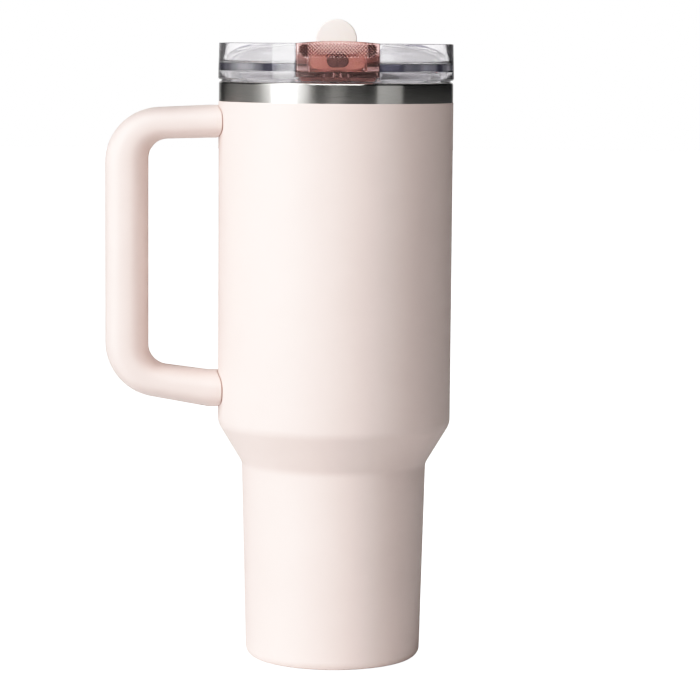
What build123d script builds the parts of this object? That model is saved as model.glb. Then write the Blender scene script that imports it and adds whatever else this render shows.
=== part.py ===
from build123d import *
import os

# Insulated handled tumbler, about 1.2 litres, with a push-in lid and a flip-up drinking spout.
# Millimetres. The origin is the middle of the base's resting face and +Z is up.
# The handle reaches towards -X and the drinking side of the lid faces -Y.

# ---------------------------------------------------------------- vessel
SHEET = 0.7            # outer shell sheet
LINER_SHEET = 0.5      # inner liner sheet
WALL_GAP = 3.3         # outer face of the shell to the vacuum face of the liner
FOOT_R = 37.2          # where the lower wall would meet the table
WAIST_R, WAIST_Z = 39.25, 83.6          # bottom of the shoulder cone
SHOULDER_R, SHOULDER_Z = 49.5, 100.6    # top of the shoulder cone
COAT_R, COAT_Z = 49.6, 236.9            # where the coat stops below the bare band
RIM_Z = 245.4          # top of the drinking rim
BAND_R = 49.5          # bare band, one coat thickness inside the coat
SEAM_R = 47.6          # weld between band and liner on top of the rim
LINER_R = 46.3         # outer face of the liner under the rim
FLOOR_Z = 7.4          # underside of the liner floor
BASE_EDGE_R = 30.0     # shell turned in under the base
BASE_RECESS = 2.4      # how far the middle of the base stands off the table

# ---------------------------------------------------------------- handle
GRIP_HALF_WIDTH = 16.0
GRIP_EDGE = 6.4        # rounding along the grip
GRIP_SKIN = 2.2        # soft layer over the core
SKIN_GAP = 0.15        # between the skin's ends and the coat
SADDLE_T = 1.0         # pad between each arm's core and the shell
SCREW_X = -60.0        # screws that hold the arms to their brackets
SCREW_R, HEAD_R, HEAD_H = 2.0, 3.5, 1.6
TONGUE_X, TONGUE_HALF, TONGUE_T = -64.0, 7.0, 4.0   # steel tongue inside each arm
UPPER_TONGUE_Z, LOWER_TONGUE_Z = 228.3, 115.5
PLATE_HALF, PLATE_HALF_H = 9.0, 3.4     # bracket plate welded to the shell
HEAD_GAP = 1.4         # core left between the tongue and the screw's head
# Side view of the grip: outer line from the top arm round to the lower arm, then back inside.
GRIP_OUTER = [(-40.0, 235.9), (-97.3, 233.1), (-97.3, 115.2), (-40.0, 105.1)]
GRIP_INNER = [(-40.0, 120.9), (-79.1, 125.8), (-79.1, 220.6), (-40.0, 221.8)]
GRIP_OUTER_BEND, GRIP_INNER_BEND = 23.5, 8.5

# ---------------------------------------------------------------- lid
LID_Z, LID_TOP = 246.0, 261.4           # visible outer wall
LID_R, LID_TOP_R = 49.8, 49.4
LID_WALL_IN = 47.1     # inner face of the outer wall
BEAD_R = 48.3          # bead that sits on the rim
DISH_Z, DISH_T = 250.2, 2.6             # underside of the dish floor and its thickness
PLUG_R, PLUG_IN, PLUG_Z = 44.2, 41.9, 233.0
GROOVE_R, GROOVE_Z, GROOVE_H = 43.3, 237.0, 6.0
GASKET_R = 45.6        # sealing lips, just inside the liner

# ---------------------------------------------------------------- cradle and spout
CRADLE_HALF, CRADLE_BACK = 17.0, 10.0
CRADLE_Z = 247.6       # underside of the trough
CRADLE_LIP_HALF = 16.0
CROWN = 0.9            # rise of the front wall's arched top
TROUGH_HALF, TROUGH_Z = 11.7, 249.4
TROUGH_FRONT_R = 46.9  # inner face of the front wall
PIVOT_Z = 254.2
BARREL_R, BARREL_HALF = 6.5, 11.2
TRUNNION_R, TRUNNION_HALF = 3.0, 14.9
RUNNING = 0.05         # radial clearance of the trunnions and of the seal
PORT_R = 3.45
BILL_HALF, NECK_HALF, BILL_HALF_H, BILL_R = 11.2, 8.0, 4.0, 45.6
MOUTH_W, MOUTH_H, MOUTH_DEPTH = 8.8, 5.4, 12.0
VALVE_Y, VALVE_T, VALVE_GAP = -41.5, 1.0, 0.02      # slit membrane across the mouth
SLIT_W, SLIT_H = 0.3, 3.6
PADDLE_HALF, PADDLE_TOP = 8.65, 271.6
PADDLE_Y, PADDLE_T = -1.6, 2.2
VENT_Y, VENT_R = -24.0, 1.6
SEAL_R, SEAL_Z = 4.7, 246.0
SEAT_Z = 245.0         # underside of the barrel's seat
SOCKET_R, SOCKET_Z, STRAW_STOP = 6.2, 236.6, 244.2
STRAW_R, STRAW_BORE, STRAW_Z = 4.25, 3.45, 12.0


def inset(points, distance):
    """Shift an open (r, z) line to its left, keeping every leg parallel."""
    legs = [(Vector(*b) - Vector(*a)).normalized() for a, b in zip(points, points[1:])]
    sides = [(-leg.Y, leg.X) for leg in legs]
    sides = [sides[0], *sides, sides[-1]]
    moved = []
    for (r, z), (a, b), (c, d) in zip(points, sides, sides[1:]):
        scale = distance / (1 + a * c + b * d)
        moved.append((r + (a + c) * scale, z + (b + d) * scale))
    return moved


def outline(points, bends):
    """Closed flat outline whose listed corners, by position in the list, are rounded."""
    face = make_face(Polyline(*points, close=True))
    for index, radius in bends.items():
        corner = face.vertices().sort_by_distance(Vector(*points[index]))[0]
        face = fillet(corner, radius)
    return face


def lathe(points, bends=None):
    """Revolve an (r, z) outline about the tumbler's axis."""
    return revolve(Plane.XZ * outline(points, bends or {}), Axis.Z)


def sheet(line, thickness, bends):
    """Revolved sheet metal: the line is its right-hand face, bends are radii on that face."""
    far = inset(line, thickness)
    radii = {}
    for index, radius in bends.items():
        (ax, ay), (bx, by), (cx, cy) = line[index - 1:index + 2]
        turn = (bx - ax) * (cy - by) - (by - ay) * (cx - bx)
        radii[index] = radius
        radii[2 * len(line) - 1 - index] = radius - thickness if turn > 0 else radius + thickness
    return lathe(line + far[::-1], radii)


def side_plate(points, bends, half_width):
    """Plate cut from a side-view (x, z) outline, centred on y = 0."""
    return extrude(Plane.XZ * outline(points, bends), half_width, both=True)


def block(x, y, z):
    """Box between pairs of coordinates."""
    size = [hi - lo for lo, hi in (x, y, z)]
    centre = [(hi + lo) / 2 for lo, hi in (x, y, z)]
    return Pos(*centre) * Box(*size)


def post(radius, low, high, x=0.0, y=0.0):
    """Upright cylinder between two heights."""
    return Pos(x, y, (low + high) / 2) * Cylinder(radius, high - low)


def crossbar(radius, half_length):
    """Cylinder on the spout's pivot line."""
    return Pos(0, 0, PIVOT_Z) * Rot(0, 90, 0) * Cylinder(radius, 2 * half_length)


# ================================================================ vessel
shell_line = [
    (BASE_EDGE_R, 0), (FOOT_R, 0), (WAIST_R, WAIST_Z), (SHOULDER_R, SHOULDER_Z),
    (COAT_R, COAT_Z - 1), (COAT_R, COAT_Z),
]
outer_shell = sheet(shell_line, SHEET, {1: 4.0, 2: 6.0, 3: 8.0})

band_line = [(BAND_R, COAT_Z), (BAND_R, RIM_Z), (SEAM_R, RIM_Z)]
neck_band = sheet(band_line, SHEET, {1: 1.2})

liner_side = inset(shell_line, WALL_GAP)
liner_line = [
    (0, FLOOR_Z), (FOOT_R - WALL_GAP + 0.2, FLOOR_Z), liner_side[2], liner_side[3],
    (LINER_R, RIM_Z - LINER_SHEET), (SEAM_R, RIM_Z - LINER_SHEET),
]
inner_liner = sheet(liner_line, LINER_SHEET, {1: 8.0, 2: 9.0, 3: 6.0, 4: 0.8})

# Pressed base: welded into the turned-in edge, stepping up to a recessed middle with a dimple.
dimple_z = BASE_RECESS + SHEET
base_line = [
    (1.2, dimple_z), (7.0, dimple_z), (7.6, BASE_RECESS), (26.4, BASE_RECESS), (28.8, 0), (BASE_EDGE_R, 0),
]
outer_base = sheet(base_line, SHEET, {})
vacuum_seal_cap = lathe([(0, dimple_z - 0.7), (5.8, dimple_z - 0.7), (6.4, dimple_z - 0.3),
                         (6.4, dimple_z), (0, dimple_z)])
vacuum_getter = post(4.0, BASE_RECESS + SHEET, BASE_RECESS + SHEET + 2.6, x=17.0)
vacuum_getter = fillet(vacuum_getter.edges().group_by(Axis.Z)[-1], 0.5)

# ================================================================ handle
outer_bends = {1: GRIP_OUTER_BEND, 2: GRIP_OUTER_BEND, 5: GRIP_INNER_BEND, 6: GRIP_INNER_BEND}
core_bends = {1: GRIP_OUTER_BEND - GRIP_SKIN, 2: GRIP_OUTER_BEND - GRIP_SKIN,
              5: GRIP_INNER_BEND + GRIP_SKIN, 6: GRIP_INNER_BEND + GRIP_SKIN}


def handle_solid(outer, inner, bends, half_width, edge):
    """Handle-shaped plate with its long edges rounded; the arm ends stay square inside the shell."""
    plate = side_plate(outer + inner, bends, half_width)
    faces = plate.faces().sort_by(Axis.Y)
    long_edges = [e for f in (faces[0], faces[-1]) for e in f.edges() if e.center().X < -40.1]
    return fillet(long_edges, edge)


def inside_of(gap):
    """Everything nearer the axis than a face that stands off the coat by the gap."""
    top_r, low_r = COAT_R + gap, SHOULDER_R + gap
    return lathe([(0, COAT_Z), (top_r, COAT_Z), (top_r, COAT_Z - 1), (low_r, SHOULDER_Z), (0, SHOULDER_Z)])


reach = inside_of(SADDLE_T)
pad_layer = reach - inside_of(0)

grip_full = handle_solid(GRIP_OUTER, GRIP_INNER, outer_bends, GRIP_HALF_WIDTH, GRIP_EDGE)
core_full = handle_solid(inset(GRIP_OUTER, GRIP_SKIN), inset(GRIP_INNER, GRIP_SKIN), core_bends,
                         GRIP_HALF_WIDTH - GRIP_SKIN, GRIP_EDGE - GRIP_SKIN)
handle_core = core_full - reach
handle_grip = grip_full - core_full - inside_of(SKIN_GAP)
pads = core_full & pad_layer

brackets, saddles, screws, plugs = [], [], [], []
for tongue_z in (UPPER_TONGUE_Z, LOWER_TONGUE_Z):
    under = tongue_z - TONGUE_T / 2
    bearing = under - HEAD_GAP
    plate = block((-60, -40), (-PLATE_HALF, PLATE_HALF), (tongue_z - PLATE_HALF_H, tongue_z + PLATE_HALF_H))
    arm = block((-60, -40), (-GRIP_HALF_WIDTH, GRIP_HALF_WIDTH), (tongue_z - 12, tongue_z + 12))
    tongue = block((TONGUE_X, -40), (-TONGUE_HALF, TONGUE_HALF), (under, under + TONGUE_T))
    shank = post(SCREW_R, bearing, under + TONGUE_T + 0.8, x=SCREW_X)
    head = post(HEAD_R, bearing - HEAD_H, bearing, x=SCREW_X)
    drive = Pos(SCREW_X, 0, bearing - HEAD_H) * extrude(RegularPolygon(1.45, 6), 0.9)
    pocket = post(HEAD_R, bearing - 12, bearing, x=SCREW_X)

    brackets.append((tongue - reach) + (tongue & pad_layer) + (plate & pad_layer) - shank)
    saddles.append((pads & arm) - plate)
    screws.append(shank + head - drive)
    plugs.append((pocket & grip_full) - head)
    handle_core = handle_core - tongue - shank - pocket
    handle_grip = handle_grip - pocket
upper_bracket, lower_bracket = brackets
upper_saddle, lower_saddle = saddles

# ================================================================ lid
lid_side = [
    (LID_R - 1.0, LID_Z), (LID_R - 0.3, LID_Z + 0.3), (LID_R, LID_Z + 1.0),
    (LID_TOP_R, LID_TOP - 0.3), (LID_TOP_R - 0.3, LID_TOP),
]
wall_foot = LID_WALL_IN - 0.2
lid_body = lathe([
    (0, DISH_Z), (PLUG_IN - 0.2, DISH_Z), (PLUG_IN, PLUG_Z), (PLUG_R - 0.3, PLUG_Z),
    (PLUG_R, PLUG_Z + 1.5), (PLUG_R, GROOVE_Z), (GROOVE_R, GROOVE_Z), (GROOVE_R, GROOVE_Z + GROOVE_H),
    (PLUG_R, GROOVE_Z + GROOVE_H), (PLUG_R, DISH_Z), (LID_WALL_IN, DISH_Z), (LID_WALL_IN, RIM_Z),
    (BEAD_R, RIM_Z), (BEAD_R, LID_Z),
    *lid_side, (LID_WALL_IN + 0.2, LID_TOP), (wall_foot, DISH_Z + DISH_T), (0, DISH_Z + DISH_T),
])

lid_gasket = lathe([
    (GROOVE_R, GROOVE_Z), (PLUG_R + 0.2, GROOVE_Z), (GASKET_R, GROOVE_Z + 1.6),
    (PLUG_R + 0.5, GROOVE_Z + 2.2), (PLUG_R + 0.5, GROOVE_Z + 3.2), (GASKET_R, GROOVE_Z + 4.6), (PLUG_R + 0.2, GROOVE_Z + 5.4),
    (PLUG_R + 0.2, GROOVE_Z + GROOVE_H), (GROOVE_R, GROOVE_Z + GROOVE_H),
], {2: 0.25, 5: 0.25})

# Cradle: a trough let into the lid's front, its front wall continuing the lid's own wall.
wall_outside = lathe([(0, CRADLE_Z - 4), (LID_R, CRADLE_Z - 4), (LID_R, LID_Z), (LID_TOP_R, LID_TOP),
                      (LID_TOP_R, LID_TOP + CROWN), (0, LID_TOP + CROWN)])
crown_r = (CRADLE_HALF ** 2 + CROWN ** 2) / (2 * CROWN)
crown = Pos(0, -LID_R, LID_TOP + CROWN - crown_r) * Rot(90, 0, 0) * Cylinder(crown_r, 20)
plan_side = [(CRADLE_HALF, -60), (CRADLE_HALF, CRADLE_BACK)]
plan = outline(plan_side + [(-x, y) for x, y in plan_side[::-1]], {1: 3.0, 2: 3.0})
trough_block = extrude(Plane.XY.offset(CRADLE_Z) * plan, LID_TOP - CRADLE_Z)
front_block = block((-CRADLE_HALF, CRADLE_HALF), (-60, -LID_WALL_IN + 1), (LID_TOP - 1, LID_TOP + CROWN))
front_block = front_block & crown
lip_side = [(CRADLE_LIP_HALF - 1.4, LID_Z), (CRADLE_LIP_HALF, LID_Z + 1.4), (CRADLE_LIP_HALF, CRADLE_Z + 1)]
lip_plan = outline(lip_side + [(-x, z) for x, z in lip_side[::-1]], {})
front_lip = extrude(Plane.XZ * lip_plan, 60) - post(LID_WALL_IN, LID_Z - 1, CRADLE_Z + 2)
barrel_seat = block((-CRADLE_LIP_HALF, CRADLE_LIP_HALF), (-8.5, CRADLE_BACK), (SEAT_Z, CRADLE_Z))
cut_out = trough_block + front_lip
lid_body = lid_body - cut_out
cradle_full = ((cut_out + front_block) & wall_outside) + barrel_seat

trough = block((-TROUGH_HALF, TROUGH_HALF), (-60, CRADLE_BACK + 1), (TROUGH_Z, LID_TOP + 3)) \
    & post(TROUGH_FRONT_R, TROUGH_Z, LID_TOP + 3)
socket = post(SOCKET_R, SOCKET_Z, SEAT_Z + 0.6)
straw_cradle = cradle_full + socket - trough - crossbar(BARREL_R + 0.2, TROUGH_HALF) \
    - crossbar(TRUNNION_R + RUNNING, TRUNNION_HALF + 0.1) - post(PORT_R, SOCKET_Z - 1, TROUGH_Z) \
    - post(STRAW_R, SOCKET_Z - 1, STRAW_STOP) - post(SEAL_R, SEAL_Z, TROUGH_Z + 1) \
    - post(VENT_R, CRADLE_Z - 1, TROUGH_Z + 1, y=VENT_Y)

port_seal = post(SEAL_R, SEAL_Z, TROUGH_Z + 0.1) - post(PORT_R, SEAL_Z, TROUGH_Z + 1) \
    - crossbar(BARREL_R + RUNNING, TROUGH_HALF)

straw = post(STRAW_R, STRAW_Z, STRAW_STOP) - post(STRAW_BORE, STRAW_Z, STRAW_STOP)

# ================================================================ spout
bill_side = [(BILL_HALF, -60), (BILL_HALF, -33), (NECK_HALF, -12), (NECK_HALF, 0)]
bill_plan = outline(bill_side + [(-x, y) for x, y in bill_side[::-1]], {1: 20, 2: 12, 5: 12, 6: 20})
bill = extrude(Plane.XY.offset(PIVOT_Z) * bill_plan, BILL_HALF_H, both=True) \
    & post(BILL_R, PIVOT_Z - BILL_HALF_H, PIVOT_Z + BILL_HALF_H)
bill = fillet(bill.edges().group_by(Axis.Z)[0] + bill.edges().group_by(Axis.Z)[-1], 2.6)

paddle_face = Plane(origin=(0, PADDLE_Y, 0), x_dir=(1, 0, 0), z_dir=(0, -1, 0))
paddle_centre = PADDLE_TOP - PADDLE_HALF
paddle_stem = Pos(0, (paddle_centre + PIVOT_Z) / 2) * Rectangle(2 * PADDLE_HALF, paddle_centre - PIVOT_Z)
paddle_round = Pos(0, paddle_centre) * Circle(PADDLE_HALF)
paddle = extrude(paddle_face * (paddle_round + paddle_stem), PADDLE_T / 2, both=True)
rim_edges = [e for e in paddle.edges() if e.center().Z > PIVOT_Z + 4 and abs(e.center().Y - PADDLE_Y) > 1]
paddle = fillet(rim_edges, 0.7)

mouth_face = Plane(origin=(0, -BILL_R - 1, PIVOT_Z), x_dir=(1, 0, 0), z_dir=(0, 1, 0))
mouth = extrude(mouth_face * SlotOverall(MOUTH_W, MOUTH_H), MOUTH_DEPTH)
passage = Pos(0, (8 - BILL_R) / 2, PIVOT_Z) * Rot(90, 0, 0) * Cylinder(2.6, BILL_R + 8)
outlet = Pos(0, 4, PIVOT_Z) * Rot(90, 0, 0) * Cylinder(PORT_R, 10)
flip_spout = bill + crossbar(BARREL_R, BARREL_HALF) + crossbar(TRUNNION_R, TRUNNION_HALF) + paddle \
    - mouth - passage - outlet

valve_face = Plane(origin=(0, VALVE_Y, PIVOT_Z), x_dir=(1, 0, 0), z_dir=(0, 1, 0))
membrane = SlotOverall(MOUTH_W - 2 * VALVE_GAP, MOUTH_H - 2 * VALVE_GAP) - Rectangle(SLIT_W, SLIT_H)
mouth_valve = extrude(valve_face * membrane, VALVE_T)

bill_under = PIVOT_Z - BILL_HALF_H
vent_plug = lathe([(0, TROUGH_Z - 0.9), (0.7, TROUGH_Z - 0.9), (VENT_R - 0.15, TROUGH_Z + RUNNING),
                   (2.8, TROUGH_Z + RUNNING), (2.8, bill_under), (0, bill_under)])
vent_plug = Pos(0, VENT_Y, 0) * vent_plug

# ================================================================ files
nodes = {
    "outer_shell": outer_shell,
    "neck_band": neck_band,
    "inner_liner": inner_liner,
    "outer_base": outer_base,
    "vacuum_seal_cap": vacuum_seal_cap,
    "vacuum_getter": vacuum_getter,
    "upper_bracket": upper_bracket,
    "lower_bracket": lower_bracket,
    "upper_saddle": upper_saddle,
    "lower_saddle": lower_saddle,
    "handle_core": handle_core,
    "handle_grip": handle_grip,
    "handle_screws": Compound(screws),
    "screw_plugs": Compound(plugs),
    "lid_body": lid_body,
    "lid_gasket": lid_gasket,
    "straw_cradle": straw_cradle,
    "port_seal": port_seal,
    "straw": straw,
    "flip_spout": flip_spout,
    "mouth_valve": mouth_valve,
    "vent_plug": vent_plug,
}
os.makedirs("parts", exist_ok=True)
for name, shape in nodes.items():
    export_step(shape, f"parts/{name}.step")
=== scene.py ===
"""Looks for the insulated tumbler: metres, Z up, base at z = 0, handle to -X, drinking side to -Y."""
import math

import bmesh
import bpy
from mathutils import Matrix, Vector


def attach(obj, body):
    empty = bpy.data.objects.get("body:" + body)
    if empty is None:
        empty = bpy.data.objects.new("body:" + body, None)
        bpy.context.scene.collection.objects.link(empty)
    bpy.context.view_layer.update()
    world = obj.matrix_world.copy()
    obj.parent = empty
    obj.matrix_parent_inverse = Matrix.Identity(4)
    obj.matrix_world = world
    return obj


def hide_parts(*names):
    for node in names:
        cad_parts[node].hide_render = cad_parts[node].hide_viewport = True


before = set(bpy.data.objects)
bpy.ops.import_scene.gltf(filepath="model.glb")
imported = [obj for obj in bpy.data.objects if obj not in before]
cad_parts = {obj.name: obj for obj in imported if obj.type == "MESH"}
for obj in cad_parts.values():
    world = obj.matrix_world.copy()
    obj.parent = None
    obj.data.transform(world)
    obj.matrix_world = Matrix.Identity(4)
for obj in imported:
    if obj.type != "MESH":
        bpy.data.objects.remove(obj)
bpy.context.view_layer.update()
MM = 0.001

# ------------------------------------------------------------------ shapes


def bend_line(points, radii, steps=8):
    """A (r, z) line in mm with the listed corners rounded."""
    line = []
    for i, p in enumerate(points):
        if i not in radii:
            line.append(Vector(p))
            continue
        p, a, b = Vector(p), Vector(points[i - 1]), Vector(points[(i + 1) % len(points)])
        ua, ub = (a - p).normalized(), (b - p).normalized()
        half = math.acos(max(-1, min(1, ua.dot(ub)))) / 2
        reach = radii[i] / math.tan(half)
        start, end = p + ua * reach, p + ub * reach
        centre = p + (ua + ub).normalized() * (radii[i] / math.sin(half))
        first = math.atan2(*(start - centre).yx)
        turn = (math.atan2(*(end - centre).yx) - first + math.pi) % (2 * math.pi) - math.pi
        for k in range(steps + 1):
            angle = first + turn * k / steps
            line.append(centre + radii[i] * Vector((math.cos(angle), math.sin(angle))))
    return line


def inset(points, distance):
    """The same open line moved to its left."""
    pts = [Vector(p) for p in points]
    sides = [Vector((-(b - a).y, (b - a).x)).normalized() for a, b in zip(pts, pts[1:])]
    sides = [sides[0], *sides, sides[-1]]
    return [p + (a + b) * (distance / (1 + a.dot(b))) for p, a, b in zip(pts, sides, sides[1:])]


def sheet_line(points, thickness, radii, steps=8):
    """Closed section of a sheet: the points' own face, and a second face thickness to its left."""
    far, far_radii = inset(points, thickness), {}
    for i, radius in radii.items():
        a, b, c = (Vector(points[k]) for k in (i - 1, i, i + 1))
        to_left = (b - a).cross(c - b) > 0
        far_radii[i] = max(0.05, radius - thickness) if to_left else radius + thickness
    return bend_line(points, radii, steps) + bend_line(far, far_radii, steps)[::-1]


def refine(line, span):
    """Adds points so that no leg of a closed line is longer than span."""
    out = []
    for a, b in zip(line, line[1:] + line[:1]):
        count = max(1, math.ceil((Vector(b) - Vector(a)).length / span))
        out += [Vector(a).lerp(Vector(b), k / count) for k in range(count)]
    return out


def add_object(name, mesh):
    """New object with the mesh, in the scene's collection."""
    obj = bpy.data.objects.new(name, mesh)
    bpy.context.collection.objects.link(obj)
    return obj


def shade(mesh, smooth):
    """Smooth shading that breaks at edges sharper than the angle in degrees."""
    mesh.shade_smooth()
    mesh.set_sharp_from_angle(angle=math.radians(smooth))


def finish_mesh(name, bm, smooth=30):
    """Object from a bmesh, with its faces turned outwards."""
    bmesh.ops.recalc_face_normals(bm, faces=bm.faces)
    mesh = bpy.data.meshes.new(name)
    bm.to_mesh(mesh)
    bm.free()
    shade(mesh, smooth)
    return add_object(name, mesh)


def lathe(name, line, segments=192, closed=True):
    """Revolves a (r, z) line in mm about the Z axis; an open line starts and ends on the axis."""
    bm = bmesh.new()
    rings = []
    for r, z in line:
        if r < 1e-6:
            rings.append([bm.verts.new((0, 0, z * MM))] * segments)
        else:
            rings.append([bm.verts.new((r * MM * math.cos(2 * math.pi * k / segments),
                                        r * MM * math.sin(2 * math.pi * k / segments), z * MM))
                          for k in range(segments)])
    pairs = list(zip(rings, rings[1:])) + ([(rings[-1], rings[0])] if closed else [])
    for low, high in pairs:
        for k in range(segments):
            j = (k + 1) % segments
            corners = list(dict.fromkeys((low[k], low[j], high[j], high[k])))
            if len(corners) > 2:
                bm.faces.new(corners)
    return finish_mesh(name, bm)


def loft(name, rings, smooth=40):
    """Skins a list of equal rings of points in mm, and caps both ends."""
    bm = bmesh.new()
    loops = [[bm.verts.new(Vector(p) * MM) for p in ring] for ring in rings]
    count = len(loops[0])
    for low, high in zip(loops, loops[1:]):
        for k in range(count):
            j = (k + 1) % count
            bm.faces.new((low[k], low[j], high[j], high[k]))
    bm.faces.new(loops[0])
    bm.faces.new(loops[-1])
    return finish_mesh(name, bm, smooth)


def prism(name, outline, low, high, place=lambda x, y, h: (x, y, h)):
    """Extrudes a flat outline in mm between two levels; place maps (x, y, level) to the row frame."""
    return loft(name, [[place(x, y, h) for x, y in outline] for h in (low, high)], 30)


def block(name, x, y, z):
    """Box in mm between pairs of coordinates."""
    return prism(name, [(x[0], y[0]), (x[1], y[0]), (x[1], y[1]), (x[0], y[1])], *z)


def post(name, radius, low, high, x=0.0, y=0.0, segments=96):
    """Upright cylinder in mm."""
    obj = lathe(name, [(0, low), (radius, low), (radius, high), (0, high)], segments, closed=False)
    obj.data.transform(Matrix.Translation((x * MM, y * MM, 0)))
    return obj


def crossbar(name, line):
    """Lathe of a (radius, x) line in mm about the spout's pivot line."""
    obj = lathe(name, line, 96, closed=False)
    obj.data.transform(Matrix.Translation((0, 0, PIVOT * MM)) @ Matrix.Rotation(math.pi / 2, 4, "Y"))
    return obj


def apply_modifier(obj):
    """Makes the object's modifier part of its mesh."""
    mesh = bpy.data.meshes.new_from_object(obj.evaluated_get(bpy.context.evaluated_depsgraph_get()))
    obj.modifiers.clear()
    obj.data = mesh


def combine(obj, tool, operation):
    """Applies an exact boolean and removes the tool."""
    mod = obj.modifiers.new("cut", "BOOLEAN")
    mod.operation, mod.object, mod.solver = operation, tool, "EXACT"
    apply_modifier(obj)
    bpy.data.objects.remove(tool)


def soften(obj, width, segments, angle):
    """Applies a small bevel to edges sharper than the angle and smooths the shading."""
    mod = obj.modifiers.new("soften", "BEVEL")
    mod.width, mod.segments, mod.limit_method = width * MM, segments, "ANGLE"
    mod.angle_limit = math.radians(angle)
    mod.miter_outer = "MITER_ARC"
    apply_modifier(obj)
    shade(obj.data, 32)


def piece(obj, body, finish, node):
    """Gives a visual piece its material, its body and the CAD node it replaces."""
    obj.data.materials.clear()
    obj.data.materials.append(finish.mat)
    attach(obj, body)
    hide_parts(node)


# ------------------------------------------------------------------ node trees


class Graph:
    """A node tree, with the nodes that the materials and the world share."""

    def __init__(self, tree):
        self.nodes, self.links = tree.nodes, tree.links

    def feed(self, socket, value):
        """Links a socket, or sets it where the value is a plain number or colour."""
        if isinstance(value, bpy.types.NodeSocket):
            self.links.new(value, socket)
        else:
            socket.default_value = value

    def math(self, operation, *values):
        node = self.nodes.new("ShaderNodeMath")
        node.operation = operation
        for socket, value in zip(node.inputs, values):
            self.feed(socket, value)
        return node.outputs[0]

    def split(self, vector):
        node = self.nodes.new("ShaderNodeSeparateXYZ")
        self.links.new(vector, node.inputs[0])
        return node.outputs

    def spread(self, value, low, high, start=0.3, end=0.7, smooth=False):
        """Maps start..end to low..high."""
        node = self.nodes.new("ShaderNodeMapRange")
        if smooth:
            node.interpolation_type = "SMOOTHSTEP"
        for key, number in (("From Min", start), ("From Max", end), ("To Min", low), ("To Max", high)):
            node.inputs[key].default_value = number
        self.links.new(value, node.inputs["Value"])
        return node.outputs["Result"]

    def mix(self, factor, a, b):
        """Blends two colours."""
        node = self.nodes.new("ShaderNodeMix")
        node.data_type = "RGBA"
        for key, value in (("Factor", factor), ("A", a), ("B", b)):
            self.feed(node.inputs[key], value)
        return node.outputs["Result"]


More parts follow.
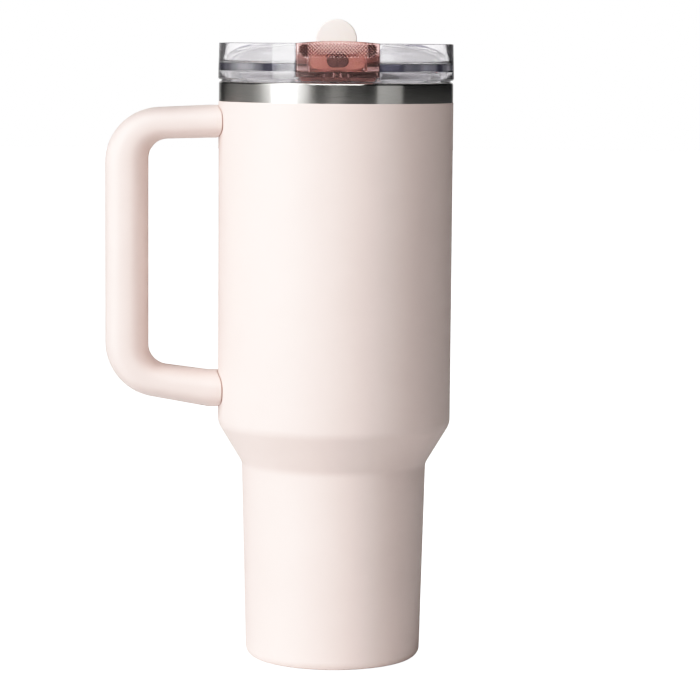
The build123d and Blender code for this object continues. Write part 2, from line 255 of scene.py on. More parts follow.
class Finish(Graph):
    """A Principled material with helpers for procedural detail in object space."""

    def __init__(self, name, color, **sockets):
        self.mat = bpy.data.materials.new(name)
        self.mat.use_nodes = True
        super().__init__(self.mat.node_tree)
        self.shader = self.nodes["Principled BSDF"]
        self.set("Base Color", (*color, 1))
        for key, value in sockets.items():
            self.set(key.replace("_", " "), value)
        self.space = self.nodes.new("ShaderNodeTexCoord").outputs["Object"]
        self.normal = None

    def set(self, key, value):
        self.feed(self.shader.inputs[key], value)

    def linked(self, key):
        """What already feeds one of the shader's sockets."""
        return self.shader.inputs[key].links[0].from_socket

    def radius(self, x, y):
        """Distance from the tumbler's axis."""
        return self.math("SQRT", self.math("ADD", self.math("MULTIPLY", x, x), self.math("MULTIPLY", y, y)))

    def between(self, value, low, high):
        """1 between two levels, 0 outside them."""
        above = self.math("GREATER_THAN", value, low)
        return self.math("MULTIPLY", above, self.math("LESS_THAN", value, high))

    def around(self, round_scale, up_scale, radial_scale=0.0):
        """Coordinates that follow the turned surface: around the axis, outwards, and up it."""
        x, y, z = self.split(self.space)
        join = self.nodes.new("ShaderNodeCombineXYZ")
        for i, (value, scale) in enumerate(((self.math("ARCTAN2", y, x), round_scale),
                                            (self.radius(x, y), radial_scale), (z, up_scale))):
            self.links.new(self.math("MULTIPLY", value, scale), join.inputs[i])
        return join.outputs[0]

    def noise(self, scale, detail=3.0, rough=0.55, where=None):
        node = self.nodes.new("ShaderNodeTexNoise")
        for key, number in (("Scale", scale), ("Detail", detail), ("Roughness", rough)):
            node.inputs[key].default_value = number
        self.links.new(where or self.space, node.inputs["Vector"])
        return node.outputs["Fac"]

    def roughness(self, value, low, high):
        self.set("Roughness", self.spread(value, low, high))
        return self

    def tone(self, value, dark, light):
        """Colour that drifts between two shades."""
        self.set("Base Color", self.mix(self.spread(value, 0, 1), (*dark, 1), (*light, 1)))
        return self

    def lay_painted_light(self, amount, color):
        """Lays a second colour over the first: painted light or shade."""
        self.set("Base Color", self.mix(amount, self.linked("Base Color"), (*color, 1)))
        return self

    def bump(self, value, depth_mm, strength):
        node = self.nodes.new("ShaderNodeBump")
        node.inputs["Strength"].default_value = strength
        node.inputs["Distance"].default_value = depth_mm * MM
        self.links.new(value, node.inputs["Height"])
        if self.normal:
            self.links.new(self.normal, node.inputs["Normal"])
        self.normal = node.outputs["Normal"]
        self.set("Normal", self.normal)
        return self

    def painted_reflection_bands(self, dark, low, high, radius):
        """Painted reflection: patches of dark colour on the outer wall, between two heights outside a radius
        in metres.
        """
        x, y, z = self.split(self.space)
        outer = self.math("GREATER_THAN", self.radius(x, y), radius)
        inside = self.math("MULTIPLY", self.between(z, low, high), outer)
        reflection_patches = self.spread(self.noise(1.0, 2, 0.5, self.around(2.2, 0)), 0.25, 1.0, 0.35, 0.55)
        return self.lay_painted_light(self.math("MULTIPLY", inside, reflection_patches), dark)

    def knurl(self, dark, rough):
        """Painted shade darkening the valleys, and a fine grain, on the cradle's diamond strip, keyed to its
        lattice.
        """
        x, y, z = self.split(self.space)
        waves = []
        for value, start, step in ((x, 0, PITCH), (z, KNURL_Z, KNURL_ROW)):
            past_start = self.math("SUBTRACT", value, start * MM)
            waves.append(self.math("COSINE", self.math("MULTIPLY", past_start, math.pi / (step * MM))))
        valley = self.math("MULTIPLY_ADD", self.math("MULTIPLY", *waves), -0.5, 0.5)
        off_middle = self.math("ABSOLUTE", self.math("SUBTRACT", z, KNURL_MIDDLE * MM))
        strip = self.math("LESS_THAN", off_middle, KNURL_RISE * MM)
        for value, limit in ((self.math("ABSOLUTE", x), KNURL_HALF), (y, -KNURL_NEAR)):
            strip = self.math("MULTIPLY", strip, self.math("LESS_THAN", value, limit * MM))
        # Painted shade: the valleys are darkened towards the dark colour.
        self.lay_painted_light(self.math("MULTIPLY", self.math("POWER", valley, 2), strip), dark)
        self.set("Roughness", self.math("MULTIPLY_ADD", strip, rough, self.linked("Roughness")))
        return self


def brushed(name, color, rough, anisotropy, lines="round"):
    """Steel brushed round the axis, spun into rings, or plain."""
    finish = Finish(name, color, Metallic=1.0, Roughness=rough, Anisotropic=anisotropy,
                    Anisotropic_Rotation=0.25)
    if lines == "round":
        grain = finish.noise(1.0, 4, 0.6, finish.around(7, 9000))
    elif lines == "spun":
        grain = finish.noise(1.0, 4, 0.6, finish.around(6, 0, 9000))
    else:
        grain = finish.noise(900, 4, 0.6)
    finish.tone(grain, dim(color, 0.94), dim(color, 1.05)).roughness(grain, rough * 0.85, rough * 1.2)
    finish.bump(grain, 0.004, 0.55)
    tangent = finish.nodes.new("ShaderNodeTangent")
    tangent.direction_type, tangent.axis = "RADIAL", "Z"
    finish.set("Tangent", tangent.outputs[0])
    return finish


def dim(color, factor):
    """The colour made darker, or lighter above 1."""
    return tuple(c * factor for c in color)


# ------------------------------------------------------------------ finishes
# Lattice of the cradle's knurled strip, in mm.
PITCH = 0.7                 # half a diamond's width
KNURL_Z = 256.0             # first row
KNURL_ROWS, KNURL_ROW = 7, 0.7
KNURL_HALF = 16.0           # half the strip's length
KNURL_RISE = KNURL_ROWS * KNURL_ROW / 2
KNURL_MIDDLE = KNURL_Z + KNURL_RISE
KNURL_NEAR = 46.2           # the wall's outer face lies nearer the camera than this

BLUSH = (0.86, 0.735, 0.695)
PALE = (0.95, 0.875, 0.835)
ROSE = (0.80, 0.56, 0.535)
CLEAR = (0.90, 0.89, 0.905)
# Colour of the painted reflection on the clear lid.
PAINTED_REFLECTION_NAVY = (0.04, 0.038, 0.06)
STEEL = (0.62, 0.61, 0.59)

coat = Finish("powder_coat", BLUSH, Roughness=0.5, Specular_IOR_Level=0.4, Sheen_Weight=0.12,
              Sheen_Roughness=0.5)
coat.tone(coat.noise(35, 4), dim(BLUSH, 0.985), dim(BLUSH, 1.012)).roughness(coat.noise(900, 2), 0.46, 0.56)
coat.bump(coat.noise(420, 2), 0.018, 0.6).bump(coat.noise(1900, 3, 0.6), 0.012, 0.7)

skin = Finish("soft_grip", dim(BLUSH, 0.985), Roughness=0.55, Specular_IOR_Level=0.35, Sheen_Weight=0.2,
              Sheen_Roughness=0.4)
skin.tone(skin.noise(50, 3), dim(BLUSH, 0.965), dim(BLUSH, 0.995)).roughness(skin.noise(1400, 2), 0.5, 0.6)
skin.bump(skin.noise(2600, 2, 0.6), 0.008, 0.7)

rubber = Finish("pad_rubber", dim(BLUSH, 0.82), Roughness=0.7, Specular_IOR_Level=0.3)
rubber.tone(rubber.noise(300, 3), dim(BLUSH, 0.78), dim(BLUSH, 0.86)).bump(rubber.noise(3000, 2), 0.01, 0.6)

core = Finish("core_plastic", dim(BLUSH, 0.9), Roughness=0.45)
core.tone(core.noise(200, 3), dim(BLUSH, 0.86), dim(BLUSH, 0.92)).bump(core.noise(1500, 2), 0.01, 0.5)

band_steel = brushed("brushed_band", STEEL, 0.2, 0.9)
liner_steel = brushed("liner_steel", dim(STEEL, 0.96), 0.3, 0.4)
base_steel = brushed("spun_base", dim(STEEL, 0.94), 0.32, 0.4, "spun")
plain_steel = brushed("plain_steel", dim(STEEL, 0.92), 0.35, 0.0, "plain")

# The see-through plastics keep a little diffuse white, which fills the ends of the lid.
clear = Finish("clear_plastic", CLEAR, Roughness=0.02, IOR=1.5, Transmission_Weight=0.9)
clear.tone(clear.noise(30, 2), dim(CLEAR, 0.99), dim(CLEAR, 1.005)).roughness(clear.noise(600, 3), 0.01, 0.03)
# Painted reflection: dark navy bands low on the lid's outer wall, patchy round it.
clear.painted_reflection_bands(PAINTED_REFLECTION_NAVY, low=0.2499, high=0.2529, radius=0.0485)

rose = Finish("rose_plastic", ROSE, Roughness=0.04, IOR=1.5, Transmission_Weight=0.87)
rose.tone(rose.noise(45, 2), dim(ROSE, 0.97), dim(ROSE, 1.03)).roughness(rose.noise(700, 3), 0.02, 0.06)
# Painted shade in the knurl's valleys, nearly black.
rose.knurl(dim(ROSE, 0.14), rough=0.1)

tube = Finish("straw_plastic", (0.86, 0.84, 0.83), Roughness=0.12, IOR=1.46, Transmission_Weight=0.75)
tube.bump(tube.noise(120, 2), 0.02, 0.3)

satin = Finish("spout_plastic", PALE, Roughness=0.36, Specular_IOR_Level=0.5, Subsurface_Weight=0.1,
               Subsurface_Scale=0.002)
satin.tone(satin.noise(70, 3), dim(PALE, 0.985), dim(PALE, 1.01)).roughness(satin.noise(800, 2), 0.32, 0.4)
satin.bump(satin.noise(2400, 2), 0.005, 0.5)

valve = Finish("valve_silicone", (0.055, 0.05, 0.062), Roughness=0.45)
valve.tone(valve.noise(150, 3), (0.05, 0.045, 0.056), (0.06, 0.055, 0.068))
valve.bump(valve.noise(1800, 2), 0.01, 0.5)

silicone = Finish("white_silicone", (0.80, 0.79, 0.775), Roughness=0.5, Subsurface_Weight=0.25,
                  Subsurface_Scale=0.003)
silicone.tone(silicone.noise(120, 3), (0.77, 0.76, 0.745), (0.82, 0.81, 0.795))
silicone.bump(silicone.noise(1800, 2), 0.01, 0.5)

# ------------------------------------------------------------------ vessel
FOOT_R, FOOT_IN_R = 37.2, 30.0          # outer corner of the foot, and the shell's turned-in edge
COAT_R, COAT_Z = 49.6, 236.9            # top edge of the coat
BAND_R, RIM, SEAM_R = 49.5, 245.4, 47.6
SHEET, LINER_SHEET, WALL_GAP = 0.7, 0.5, 3.3
SHELL = [(FOOT_IN_R, 0), (FOOT_R, 0), (39.25, 83.6), (49.5, 100.6), (COAT_R, 235.9), (COAT_R, COAT_Z)]

# The coat rolls over to the bare metal at its top edge.
ROLL_R, ROLL_DROP = 1.06, 0.45
roll = [(COAT_R - ROLL_R * (1 - math.cos(t)), COAT_Z - ROLL_DROP + ROLL_R * math.sin(t))
        for t in map(math.radians, (0, 6.3, 12.6, 18.9, 25))]
shell_line = sheet_line(SHELL, SHEET, {1: 4.0, 2: 6.0, 3: 8.0}, 12)
top = max(i for i, p in enumerate(shell_line) if p[0] > COAT_R - 0.05 and p[1] > COAT_Z - 0.01)
shell_line[top:top + 1] = roll
piece(lathe("shell_coated", refine(shell_line, 24), 256), "vessel", coat, "outer_shell")

band_line = sheet_line([(BAND_R, COAT_Z), (BAND_R, RIM), (SEAM_R, RIM)], SHEET, {1: 1.2})
piece(lathe("band_bare", band_line, 256), "vessel", band_steel, "neck_band")

LINER_TOP, LINER_FLOOR = RIM - 0.5, 7.4
shoulder = inset(SHELL, WALL_GAP)[2:4]
liner_line = [(0, LINER_FLOOR), (34.1, LINER_FLOOR), *shoulder, (46.3, LINER_TOP), (SEAM_R, LINER_TOP)]
liner_line = sheet_line(liner_line, LINER_SHEET, {1: 8.0, 2: 9.0, 3: 6.0, 4: 0.8})
piece(lathe("liner_bare", liner_line, 192, closed=False), "vessel", liner_steel, "inner_liner")

RECESS, DIMPLE, CAP_R = 2.4, 3.1, 6.4
base_line = [(1.2, DIMPLE), (7.0, DIMPLE), (7.6, RECESS), (26.4, RECESS), (28.8, 0), (FOOT_IN_R, 0)]
base_line = sheet_line(base_line, SHEET, {1: 0.1, 2: 0.1, 3: 0.9, 4: 0.4}, 5)
piece(lathe("base_disc", base_line, 192), "vessel", base_steel, "outer_base")

cap_line = bend_line([(0, DIMPLE - 0.7), (CAP_R, DIMPLE - 0.7), (CAP_R, DIMPLE), (0, DIMPLE)], {1: 0.45}, 5)
piece(lathe("seal_cap", cap_line, 96, closed=False), "vessel", plain_steel, "vacuum_seal_cap")

# ------------------------------------------------------------------ handle
OUTER = [(-53.6, 235.24), (-97.3, 233.1), (-97.3, 115.2), (-53.6, 107.5)]
INNER = [(-53.6, 221.38), (-79.1, 220.6), (-79.1, 125.8), (-53.6, 122.6)]
OUTER_BEND, INNER_BEND = 23.5, 8.5
HALF_WIDTH, END_R = 16.0, 49.78
TONGUES = (228.3, 115.5)                # heights of the steel tongues inside the arms
SCREW_X, PLUG_R = -60.0, 3.54           # the plugs' bores, below the tongues
PLUG_LOW, PLUG_HIGH = -14, -4.9


def rail(points, radius, arm=8, arc=18, run=16):
    """One side of the handle's path: arm, corner, upright, corner, arm, with fixed counts."""
    line = bend_line(points, {1: radius, 2: radius}, arc)
    first, second = line[1:arc + 2], line[arc + 2:2 * arc + 3]

    def between(a, b, count):
        return [a.lerp(b, k / count) for k in range(1, count)]

    return ([line[0]] + between(line[0], first[0], arm) + first + between(first[-1], second[0], run)
            + second + between(second[-1], line[-1], arm) + [line[-1]])


def grip_section(out, inner, sides=56, power=0.76):
    """Rounded section between the outer and inner rails."""
    centre, half = (out + inner) / 2, (out - inner) / 2
    ring = []
    for k in range(sides):
        c, s = math.cos(2 * math.pi * k / sides), math.sin(2 * math.pi * k / sides)
        p = centre + half * math.copysign(abs(c) ** power, c)
        ring.append(Vector((p.x, HALF_WIDTH * math.copysign(abs(s) ** power, s), p.y)))
    return ring


def against_shell(ring, radius, size):
    """The section pressed on to a cylinder round the body, shrunk about its middle."""
    middle = sum(p.z for p in ring) / len(ring)
    return [Vector((-math.sqrt(radius ** 2 - (p.y * size) ** 2), p.y * size, middle + (p.z - middle) * size))
            for p in ring]


sections = [grip_section(o, i) for o, i in zip(rail(OUTER, OUTER_BEND), rail(INNER, INNER_BEND))]
ROUNDED_END = [(END_R, 0.93), (END_R + 0.1, 0.965), (END_R + 0.45, 0.99), (END_R + 1.1, 1.0)]
rings = [against_shell(sections[0], r, s) for r, s in ROUNDED_END] + sections
rings += [against_shell(sections[-1], r, s) for r, s in reversed(ROUNDED_END)]
grip = loft("grip_skin", rings)
for tongue in TONGUES:
    combine(grip, post("hole", PLUG_R, tongue + PLUG_LOW, tongue + PLUG_HIGH, x=SCREW_X), "DIFFERENCE")
shade(grip.data, 40)
piece(grip, "vessel", skin, "handle_grip")

# ------------------------------------------------------------------ lid
LID_Z, LID_TOP, DISH, DISH_T = 246.0, 261.4, 250.2, 2.6
LID_R, LID_TAPER, LID_WALL_IN = 49.8, 0.4, 47.1
SKIRT_R, SKIRT_IN_R, SKIRT_Z = 44.2, 41.9, 233.0
GROOVE_R, GROOVE_Z, GROOVE_TOP = 43.3, 237.0, 243.0
BEAD_R, PIVOT = 48.3, 254.2
CRADLE_HALF, CRADLE_BACK, CRADLE_Z, CRADLE_BEND = 17.0, 10.0, 247.6, 3.0
LIP_HALF, LIP_END, SEAT_FRONT = 14.6, 16.0, -8.5
GAP = 0.02                  # between the cradle and the lid
PAST_FRONT = -60            # well in front of the lid

lid_line = [
    (0, DISH), (41.7, DISH), (SKIRT_IN_R, SKIRT_Z), (SKIRT_R, SKIRT_Z),
    (SKIRT_R, GROOVE_Z), (GROOVE_R, GROOVE_Z), (GROOVE_R, GROOVE_TOP), (SKIRT_R, GROOVE_TOP),
    (SKIRT_R, DISH), (LID_WALL_IN, DISH), (LID_WALL_IN, RIM), (BEAD_R, RIM), (BEAD_R, LID_Z),
    (LID_R, LID_Z), (LID_R - LID_TAPER, LID_TOP), (47.3, LID_TOP), (46.9, DISH + DISH_T), (0, DISH + DISH_T),
]
lid_line = bend_line(lid_line, {1: 0.8, 3: 0.5, 8: 0.6, 9: 0.5, 13: 1.0, 14: 0.35, 15: 0.5, 16: 1.6}, 7)
lid = lathe("lid_clear", lid_line, 256, closed=False)


def tray_outline(half, back, steps):
    """The cradle from above, with its back corners rounded."""
    corners = [(-half, PAST_FRONT), (half, PAST_FRONT), (half, back), (-half, back)]
    return bend_line(corners, {2: CRADLE_BEND, 3: CRADLE_BEND}, steps)


# Room for the cradle: its tray, the lip under its front wall, and its seat.
combine(lid, prism("trough_cut", tray_outline(CRADLE_HALF, CRADLE_BACK, 6), CRADLE_Z, 262.5), "DIFFERENCE")
lip_in, lip_out = LIP_HALF + GAP, LIP_END + GAP
lip = [(-lip_in, 245.98), (lip_in, 245.98), (lip_out, 247.38), (lip_out, 248.0), (-lip_out, 248.0),
       (-lip_out, 247.38)]
lip_cut = prism("lip_cut", lip, PAST_FRONT, -40, lambda x, y, h: (x, h, y))
combine(lip_cut, post("lip_core", LID_WALL_IN - GAP, 244, 250, segments=256), "DIFFERENCE")
combine(lid, lip_cut, "DIFFERENCE")
seat_cut = block("seat_cut", (-lip_out, lip_out), (SEAT_FRONT - GAP, CRADLE_BACK + GAP), (244, 248))
combine(lid, seat_cut, "DIFFERENCE")
soften(lid, 0.12, 2, 50)
piece(lid, "lid", clear, "lid_body")

gasket_line = [(GROOVE_R, GROOVE_Z), (44.4, GROOVE_Z), (45.6, 238.6), (44.7, 239.2), (44.7, 240.2),
               (45.6, 241.6), (44.4, 242.4), (44.4, GROOVE_TOP), (GROOVE_R, GROOVE_TOP)]
gasket = lathe("gasket_ring", bend_line(gasket_line, {2: 0.3, 3: 0.25, 4: 0.25, 5: 0.3}, 5), 192)
piece(gasket, "lid", silicone, "lid_gasket")

STRAW_R, STRAW_BORE, STRAW_Z, STRAW_STOP = 4.22, 3.45, 12.0, 244.2
straw_line = [(STRAW_BORE, STRAW_Z), (STRAW_R, STRAW_Z), (STRAW_R, STRAW_STOP), (STRAW_BORE, STRAW_STOP)]
straw = lathe("straw_tube", refine(bend_line(straw_line, {0: 0.3, 1: 0.35}, 4), 12), 64)
piece(straw, "lid", tube, "straw")

# ------------------------------------------------------------------ cradle
# A curved front wall with a diamond-knurled strip, and the trough behind it.
CROWN, EDGE = 0.9, 0.4      # rise of the wall's arched top, and rounding of its edges
CROWN_R = (CRADLE_HALF ** 2 + CROWN ** 2) / (2 * CROWN)
FOOT_Z, BACK_R, BACK_IN_R = 246.03, 47.6, 47.3
QUARTER = [math.radians(a) for a in (0, 22, 45, 68, 90)]
# (step in or out, height) up the wall from its foot to the knurl, over a fine groove.
LOWER_WALL = ((0, 248.6), (0, 249.5), (-0.3, 249.85), (-0.3, 249.95), (0, 250.3), (0, 253), (0, 255.4))
FIRST_ROW = len(QUARTER) + len(LOWER_WALL)
VALLEY, PEAK = 0.42, 0.02


def wall_radius(z):
    """Outer radius of the lid's wall."""
    return LID_R - LID_TAPER * min(1, max(0, (z - LID_Z) / (LID_TOP - LID_Z)))


def front_profile(x):
    """Closed (r, z) ring of the front wall at one x, in matching rows."""
    crown = LID_TOP + CROWN - CROWN_R + math.sqrt(CROWN_R ** 2 - x * x)
    foot = CRADLE_Z + 0.05
    if abs(x) < LIP_END:
        foot = FOOT_Z + max(0, abs(x) - LIP_HALF)
    side = max(0, EDGE - (CRADLE_HALF - abs(x)))
    back = EDGE - math.sqrt(EDGE ** 2 - side ** 2)
    line = [(-EDGE * (1 - math.sin(a)), foot + EDGE * (1 - math.cos(a))) for a in QUARTER]
    line += LOWER_WALL
    line += [(0, KNURL_Z + j * KNURL_ROW) for j in range(KNURL_ROWS + 1)]
    line += [(-EDGE * (1 - math.cos(a)), crown - EDGE * (1 - math.sin(a)) * 0.85) for a in QUARTER]
    line = [(wall_radius(z) + dr - back, z) for dr, z in line]
    return line + [(BACK_R, crown), (BACK_IN_R, crown - 0.3), (BACK_IN_R, foot + 0.3), (BACK_R, foot)]


KNURL_SIDE = 23             # columns each side of the middle one
edges = [CRADLE_HALF - d for d in (0, 0.03, 0.11, 0.24, 0.4)]
columns = [-x for x in edges] + [k * PITCH for k in range(-KNURL_SIDE, KNURL_SIDE + 1)] + edges[::-1]
middle_column = len(edges) + KNURL_SIDE

wall, knurled, loops = bmesh.new(), {}, []
for i, x in enumerate(columns):
    ring = front_profile(x)
    for j in range(KNURL_ROWS + 1):
        row = FIRST_ROW + j
        r, z = ring[row]
        past_end = max(0, abs(x) - (KNURL_HALF - KNURL_RISE))
        if math.hypot(past_end, z - KNURL_MIDDLE) <= KNURL_RISE + 0.05 and abs(x) < KNURL_HALF + 0.3:
            knurled[i, row] = (i - middle_column + j) % 2
            ring[row] = (r - (VALLEY if knurled[i, row] else PEAK), z)
    loops.append([wall.verts.new((x * MM, -math.sqrt(r * r - x * x) * MM, z * MM)) for r, z in ring])
count = len(loops[0])
for i, (near, far) in enumerate(zip(loops, loops[1:])):
    for j in range(count):
        a, b, c, d = near[j], far[j], far[(j + 1) % count], near[(j + 1) % count]
        low = [knurled.get(key) for key in ((i, j), (i + 1, j), (i + 1, j + 1), (i, j + 1))]
        # A square of the strip is split from valley to valley, so that its peaks come out as pyramids.
        if low[0] == 1 or low[2] == 1:
            faces = ((a, b, c), (a, c, d))
        elif low[1] == 1 or low[3] == 1:
            faces = ((a, b, d), (b, c, d))
        else:
            faces = ((a, b, c, d),)
        for face in faces:
            wall.faces.new(face)
wall.faces.new(loops[0])
wall.faces.new(loops[-1])
front = finish_mesh("front_wall", wall)

TRAY_R = 48.2               # the tray ends inside the front wall
TROUGH_HALF, TROUGH_Z, TROUGH_R = 11.7, 249.4, 46.9
SOCKET_R, SOCKET_Z, SEAT_Z = 6.2, 236.6, 245.0
cradle = prism("cradle_rose", tray_outline(CRADLE_HALF - GAP, CRADLE_BACK - GAP, 8), CRADLE_Z, LID_TOP - GAP)
combine(cradle, post("tray_round", TRAY_R, 240, 270, segments=256), "INTERSECT")
trough = block("trough", (-TROUGH_HALF, TROUGH_HALF), (PAST_FRONT, 11), (TROUGH_Z, 264))
combine(trough, post("trough_round", TROUGH_R, 249, 265, segments=256), "INTERSECT")
combine(cradle, trough, "DIFFERENCE")
combine(cradle, front, "UNION")
seat = block("seat", (-LIP_END, LIP_END), (SEAT_FRONT, CRADLE_BACK - 2 * GAP), (SEAT_Z, 248.0))
combine(cradle, seat, "UNION")
combine(cradle, post("socket", SOCKET_R, SOCKET_Z, 246.0), "UNION")
for name, half, radius in (("barrel_room", 11.69, 6.7), ("trunnion_bores", 15.0, 3.05)):
    combine(cradle, crossbar(name, [(0, -half), (radius, -half), (radius, half), (0, half)]), "DIFFERENCE")
for name, radius, low, high, y in (
    ("port", STRAW_BORE, 236, 251, 0), ("straw_bore", 4.25, 236, STRAW_STOP, 0),
    ("seal_bore", 4.75, 246, 251, 0), ("vent", 1.6, 247, 251, -24),
):
    combine(cradle, post(name, radius, low, high, y=y), "DIFFERENCE")
shade(cradle.data, 22)
piece(cradle, "lid", rose, "straw_cradle")

# ------------------------------------------------------------------ spout
BILL_R = 45.6


def bill_ring(y, half_w, half_h, wrap, sides=48, power=0.5):
    """Rounded-rectangle section of the bill; wrap bends it towards the lid's round front."""
    ring = []
    for k in range(sides):
        c, s = math.cos(2 * math.pi * k / sides), math.sin(2 * math.pi * k / sides)
        x = half_w * math.copysign(abs(c) ** power, c)
        z = half_h * math.copysign(abs(s) ** power, s)
        ring.append((x, y + wrap * (BILL_R - math.sqrt(BILL_R ** 2 - x * x)), PIVOT + z))
    return ring


def oval_ring(y, half_w, half_h, sides=40):
    """Section of the drinking passage: a slot that can shrink to a circle."""
    flat = half_w - half_h
    ring = []
    for k in range(sides):
        c, s = math.cos(2 * math.pi * (k + 0.5) / sides), math.sin(2 * math.pi * (k + 0.5) / sides)
        ring.append((math.copysign(flat, c) + half_h * c, y, PIVOT + half_h * s))
    return ring


def paddle_outline(trim):
    """Round-topped plate seen from the front, drawn in by trim."""
    r, centre = 8.65 - trim, 262.95
    arc = [(r * math.cos(math.pi * k / 40), centre + r * math.sin(math.pi * k / 40)) for k in range(41)]
    return [(-r, 252.0), (r, 252.0), (r, 257.5)] + arc + [(-r, 257.5)]


# (y, half width, half height, wrap) from the bill's mouth back to the pivot.
BILL = [(-45.6, 10.6, 3.3, 1), (-45.45, 10.9, 3.65, 1), (-45.0, 11.1, 3.88, 1), (-44.3, 11.2, 4.0, 1),
        (-41, 11.2, 4.0, 0.8), (-37, 11.15, 4.0, 0.5), (-33, 10.95, 4.0, 0.2), (-29, 10.5, 4.0, 0),
        (-25, 9.9, 4.0, 0), (-21, 9.3, 4.0, 0), (-17, 8.75, 4.0, 0), (-13, 8.35, 4.0, 0), (-9, 8.1, 4.0, 0),
        (-5, 8.0, 4.0, 0), (0, 8.0, 4.0, 0)]
spout = loft("spout_rocker", [bill_ring(*station) for station in BILL])

BARREL_R, BARREL_HALF, TRUNNION_R, TRUNNION_HALF = 6.5, 11.2, 3.0, 14.9
barrel_line = [
    (0, -TRUNNION_HALF), (TRUNNION_R, -TRUNNION_HALF), (TRUNNION_R, -BARREL_HALF), (BARREL_R, -BARREL_HALF),
    (BARREL_R, BARREL_HALF), (TRUNNION_R, BARREL_HALF), (TRUNNION_R, TRUNNION_HALF), (0, TRUNNION_HALF),
]
combine(spout, crossbar("barrel", bend_line(barrel_line, {1: 0.5, 3: 0.6, 4: 0.6, 6: 0.5}, 5)), "UNION")

# (y, trim) through the plate, with both its edges rounded.
PADDLE = [(-2.7, 0.62), (-2.66, 0.36), (-2.5, 0.14), (-2.2, 0.0), (-1.0, 0.0), (-0.7, 0.14), (-0.54, 0.36),
          (-0.5, 0.62)]
plate = [[(x, y, z) for x, z in paddle_outline(trim)] for y, trim in PADDLE]
combine(spout, loft("paddle", plate), "UNION")

# (y, half width, half height) from the mouth back, down to the port's round bore.
PASSAGE = [(-48, 4.7, 3.0), (-45.3, 4.6, 2.9), (-44.8, 4.45, 2.75), (-38, 4.4, 2.7), (-32, 3.4, 2.6),
           (-26, 2.61, 2.6), (-1, 2.61, 2.6), (0, 3.46, 3.45), (8, 3.46, 3.45)]
combine(spout, loft("passage", [oval_ring(*station) for station in PASSAGE]), "DIFFERENCE")
shade(spout.data, 35)
piece(spout, "spout", satin, "flip_spout")

# The valve's slit is shut: a groove in the face of the membrane.
membrane = loft("valve_membrane", [oval_ring(y, 4.38, 2.68) for y in (-41.5, -40.5)])
combine(membrane, block("slit", (-0.17, 0.17), (-43, -40.8), (PIVOT - 1.8, PIVOT + 1.8)), "DIFFERENCE")
piece(membrane, "spout", valve, "mouth_valve")

# ------------------------------------------------------------------ CAD nodes that keep their own shape
KEPT = (
    (plain_steel, "vacuum_getter", "upper_bracket", "lower_bracket", "handle_screws"),
    (rubber, "upper_saddle", "lower_saddle", "screw_plugs"),
    (core, "handle_core"),
    (silicone, "port_seal", "vent_plug"),
)
for finish, *names in KEPT:
    for name in names:
        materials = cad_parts[name].data.materials
        materials.clear()
        materials.append(finish.mat)

# ------------------------------------------------------------------ floor
disc = bmesh.new()
bmesh.ops.create_circle(disc, cap_ends=True, radius=6.0, segments=96)
floor = finish_mesh("floor", disc)
floor.location.z = -0.0002
pale = Finish("pale_floor", (0.9, 0.9, 0.9), Roughness=0.7, Specular_IOR_Level=0.2)
pale.tone(pale.noise(3, 2), (0.89, 0.89, 0.89), (0.91, 0.91, 0.91))
pale.set("Emission Color", (1, 1, 1, 1))
# It reads as pure white to the camera, and through the clear parts.
ray = pale.nodes.new("ShaderNodeLightPath").outputs
looked_through = pale.math("GREATER_THAN", ray["Transmission Depth"], 0.5)
pale.set("Emission Strength", pale.math("MAXIMUM", ray["Is Camera Ray"], looked_through))
floor.data.materials.append(pale.mat)

# ------------------------------------------------------------------ lights
AIM = Vector((0, 0, 0.14))


def toward(azimuth, elevation):
    """Unit vector from the object; azimuth 0 is the camera's side, positive to its right."""
    a, e = math.radians(azimuth), math.radians(elevation)
    return Vector((math.sin(a) * math.cos(e), -math.cos(a) * math.cos(e), math.sin(e)))


def softbox(name, azimuth, elevation, distance, width, height, radiance):
    """Rectangular light facing the object, given by the radiance of its face."""
    data = bpy.data.lights.new(name, "AREA")
    data.shape, data.size, data.size_y = "RECTANGLE", width, height
    data.energy = radiance * math.pi * width * height
    light = add_object(name, data)
    out = toward(azimuth, elevation)
    light.location = AIM + out * distance
    light.rotation_mode = "QUATERNION"
    light.rotation_quaternion = out.to_track_quat("Z", "Y")


softbox("key", azimuth=-52, elevation=6, distance=1.3, width=0.56, height=1.5, radiance=3.2)
softbox("front_fill", azimuth=0, elevation=50, distance=1.6, width=1.2, height=0.7, radiance=3.2)

world = bpy.data.worlds.new("studio")
bpy.context.scene.world = world
world.use_nodes = True
sky = Graph(world.node_tree)
east, north, height = sky.split(sky.nodes.new("ShaderNodeTexCoord").outputs["Generated"])

# Turn round the object, 0 behind it through 0.5 on the camera's side, left before right.
bearing = sky.math("ARCTAN2", east, sky.math("MULTIPLY", north, -1))
bearing = sky.math("ADD", sky.math("DIVIDE", bearing, 2 * math.pi), 0.5)


def panorama(stops):
    """Brightness round the studio from (azimuth, level) pairs."""
    ramp = sky.nodes.new("ShaderNodeValToRGB")
    sky.links.new(bearing, ramp.inputs[0])
    elements = ramp.color_ramp.elements
    while len(elements) < len(stops):
        elements.new(0.5)
    for element, (angle, level) in zip(elements, stops):
        element.position = (angle + 180) / 360
        element.color = (level, level, level, 1)
    return ramp.outputs["Color"]


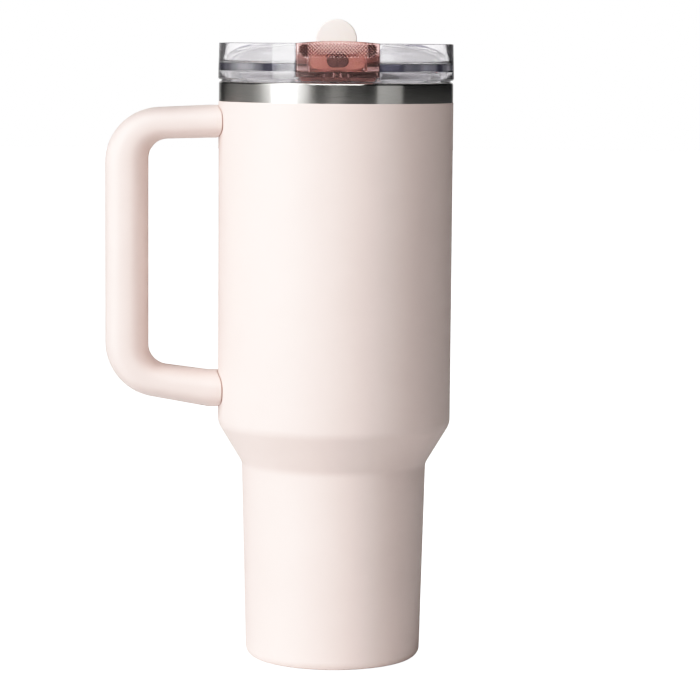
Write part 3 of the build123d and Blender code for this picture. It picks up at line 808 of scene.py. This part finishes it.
# Panels at the object's height, which the bare metal mirrors, and the dim room above and below them.
panels = panorama([
    (-180, 0.85), (-150, 0.02), (-131, 0.2), (-115, 0.32), (-92, 0.35), (-81, 0.55), (-71, 1.05),
    (-62, 1.45), (-36, 1.5), (-30, 1.1), (-25, 0.4), (-19, 0.01), (-12, 0.05), (-4, 0.3), (4, 0.26),
    (12, 0.01), (30, 0.01), (38, 0.05), (41, 0.68), (53, 0.6), (66, 0.48), (69, 0.01), (100, 0.005),
    (130, 0.01), (155, 0.02), (180, 0.85),
])
room = panorama([(-180, 0.02), (-90, 0.02), (-60, 3.43), (-30, 0.13), (0, 0.02), (180, 0.02)])
studio = sky.mix(sky.spread(sky.math("ABSOLUTE", height), 0, 1, 0.2, 0.4, smooth=True), panels, room)
# What the clear parts look through to: the white backdrop behind, and dimmer towards the camera's side.
backdrop = sky.spread(north, 0.3, 1.0, -0.3, 0.45)
ray = sky.nodes.new("ShaderNodeLightPath").outputs
looked_through = sky.math("GREATER_THAN", ray["Transmission Depth"], 0.5)
lit = sky.nodes["Background"]
sky.links.new(sky.mix(looked_through, studio, backdrop), lit.inputs["Color"])
seen = sky.nodes.new("ShaderNodeBackground")
seen.inputs["Color"].default_value = (1, 1, 1, 1)
choose = sky.nodes.new("ShaderNodeMixShader")
for socket, output in zip(choose.inputs, (ray["Is Camera Ray"], lit.outputs[0], seen.outputs[0])):
    sky.links.new(output, socket)
sky.links.new(choose.outputs[0], sky.nodes["World Output"].inputs["Surface"])

# ------------------------------------------------------------------ camera
CAM_DISTANCE, CAM_HEIGHT = 1.22, 0.261
CAM_AZ, CAM_TURN, CAM_PITCH, CAM_ROLL = -0.78, 0.315, 6.06, 0.43        # degrees

cam = add_object("camera", bpy.data.cameras.new("camera"))
cam.data.sensor_width, cam.data.lens = 36, 148.1
cam.data.clip_start, cam.data.clip_end = 0.05, 50
bpy.context.scene.camera = cam
spot = toward(CAM_AZ, 0) * CAM_DISTANCE
spot.z = CAM_HEIGHT
heading, pitch, roll = (math.radians(a) for a in (CAM_TURN - CAM_AZ, CAM_PITCH, CAM_ROLL))
gaze = Vector((math.sin(heading) * math.cos(pitch), math.cos(heading) * math.cos(pitch), -math.sin(pitch)))
right = gaze.cross(Vector((0, 0, 1))).normalized()
up = right.cross(gaze)
right, up = right * math.cos(roll) + up * math.sin(roll), up * math.cos(roll) - right * math.sin(roll)
cam.matrix_world = Matrix.Translation(spot) @ Matrix((right, up, -gaze)).transposed().to_4x4()

# ------------------------------------------------------------------ tone
view = bpy.context.scene.view_settings
view.view_transform = "Standard"
view.use_curve_mapping = True
combined_curve = view.curve_mapping.curves[3]
for x, y in ((0.052, 0.02), (0.148, 0.1), (0.296, 0.3), (0.522, 0.6), (0.817, 0.9)):
    combined_curve.points.new(x, y)
view.curve_mapping.update()
